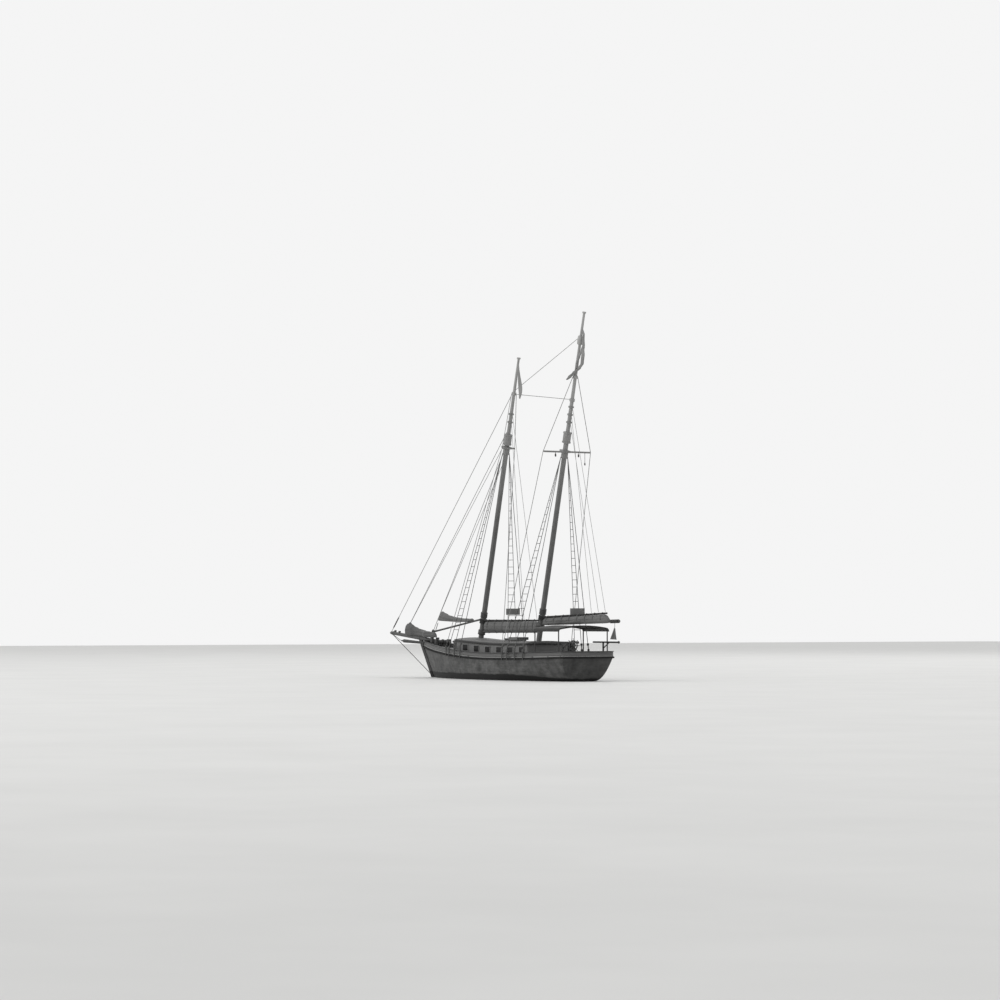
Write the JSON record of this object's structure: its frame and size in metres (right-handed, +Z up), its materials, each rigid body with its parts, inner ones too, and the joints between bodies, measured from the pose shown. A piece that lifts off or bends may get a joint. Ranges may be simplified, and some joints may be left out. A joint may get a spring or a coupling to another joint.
{
  "type": "model sailing ship",
  "caption": "Waterline display model of a gaff schooner with raked masts, stowed sails on swinging booms, shrouds, deckhouse, awning, turning wheel and windlass.",
  "frame": {"origin": "on the flat base at the waterline, amidships on the centreline", "axes": "+X to the bow, +Y to port, +Z up"},
  "size_m": [0.6452, 0.1216, 0.5349],
  "materials": {
    "hull_paint": "satin",
    "bulwark_paint": "satin",
    "dark_trim": "satin",
    "deck_wood": "matte",
    "house_paint": "satin",
    "roof_paint": "matte",
    "spar_wood": "satin",
    "window_glass": "gloss",
    "rope": "matte",
    "sail_cloth": "matte",
    "dark_canvas": "matte",
    "flag_cloth": "matte",
    "iron": "satin",
    "inner_wood": "matte"
  },
  "bodies": {
    "ship": {"hull_planking": "hull_paint", "bottom_board": "inner_wood", "deck": "deck_wood", "bulwark": "bulwark_paint", "rail_cap": "dark_trim", "rubbing_strake": "dark_trim", "stem_post": "dark_trim", "mast_steps": "inner_wood", "house_walls": "house_paint", "house_roof": "roof_paint", "window_panes": "window_glass", "window_frames": "house_paint", "hatch_coaming": "roof_paint", "fore_hatch_coaming": "deck_wood", "windlass_frame": "iron", "bow_bitts": "deck_wood", "bowsprit": "spar_wood", "whisker_booms": "spar_wood", "bowsprit_guys": "rope", "foremast": "spar_wood", "fore_topmast": "spar_wood", "mainmast": "spar_wood", "main_topmast": "spar_wood", "fore_crosstrees": "spar_wood", "main_crosstrees": "spar_wood", "mast_caps": "iron", "mast_saddles": "iron", "fore_shrouds_port": "rope", "fore_shrouds_starboard": "rope", "main_shrouds_port": "rope", "main_shrouds_starboard": "rope", "topmast_shrouds": "rope", "deadeyes": "iron", "chainplates": "iron", "forestay": "rope", "head_stays": "rope", "mast_stays": "rope", "light_boards": "spar_wood", "jib_stowed": "sail_cloth", "topsail_stowed": "flag_cloth", "fore_pennant": "flag_cloth", "wheel_box": "deck_wood", "awning_frame": "iron", "awning_canvas": "dark_canvas", "stern_davits": "iron"},
    "main_boom_set": {"main_boom": "spar_wood", "main_gaff": "spar_wood", "main_sail_stowed": "sail_cloth", "main_halyards": "rope", "ensign": "flag_cloth"},
    "fore_boom_set": {"fore_boom": "spar_wood", "fore_gaff": "spar_wood", "fore_sail_stowed": "sail_cloth", "fore_halyards": "rope"},
    "staysail_boom_set": {"staysail_boom": "spar_wood", "staysail_stowed": "sail_cloth"},
    "helm_wheel": {"steering_wheel": "deck_wood"},
    "windlass_drum": {"windlass_barrel": "iron"},
    "roof_hatch": {"sliding_hatch": "roof_paint"},
    "fore_hatch": {"fore_hatch_lid": "deck_wood"}
  },
  "joints": [
    {"name": "main_boom_swing", "type": "hinge", "parent": "ship", "child": "main_boom_set", "pos_m": [-0.11431, 0, 0.083], "axis": [-0.2487, 0, 0.9686], "range_deg": [-40, 40]},
    {"name": "fore_boom_swing", "type": "hinge", "parent": "ship", "child": "fore_boom_set", "pos_m": [0.05177, 0, 0.071], "axis": [-0.2487, 0, 0.9686], "range_deg": [-40, 40]},
    {"name": "staysail_boom_swing", "type": "hinge", "parent": "ship", "child": "staysail_boom_set", "pos_m": [0.19587, 0, 0.07], "axis": [-0.6077, 0, 0.7941], "range_deg": [-15, 15]},
    {"name": "wheel_turn", "type": "hinge", "parent": "ship", "child": "helm_wheel", "pos_m": [-0.2, 0, 0.05151], "axis": [1, 0, 0], "continuous": true},
    {"name": "windlass_turn", "type": "hinge", "parent": "ship", "child": "windlass_drum", "pos_m": [0.166, 0, 0.05472], "axis": [0, 1, 0], "continuous": true},
    {"name": "roof_hatch_slide", "type": "slide", "parent": "ship", "child": "roof_hatch", "axis": [1, 0, 0], "range_m": [0, 0.016]},
    {"name": "fore_hatch_open", "type": "hinge", "parent": "ship", "child": "fore_hatch", "pos_m": [0.1231, 0, 0.05552], "axis": [0, 1, 0], "range_deg": [0, 100]}
  ]
}
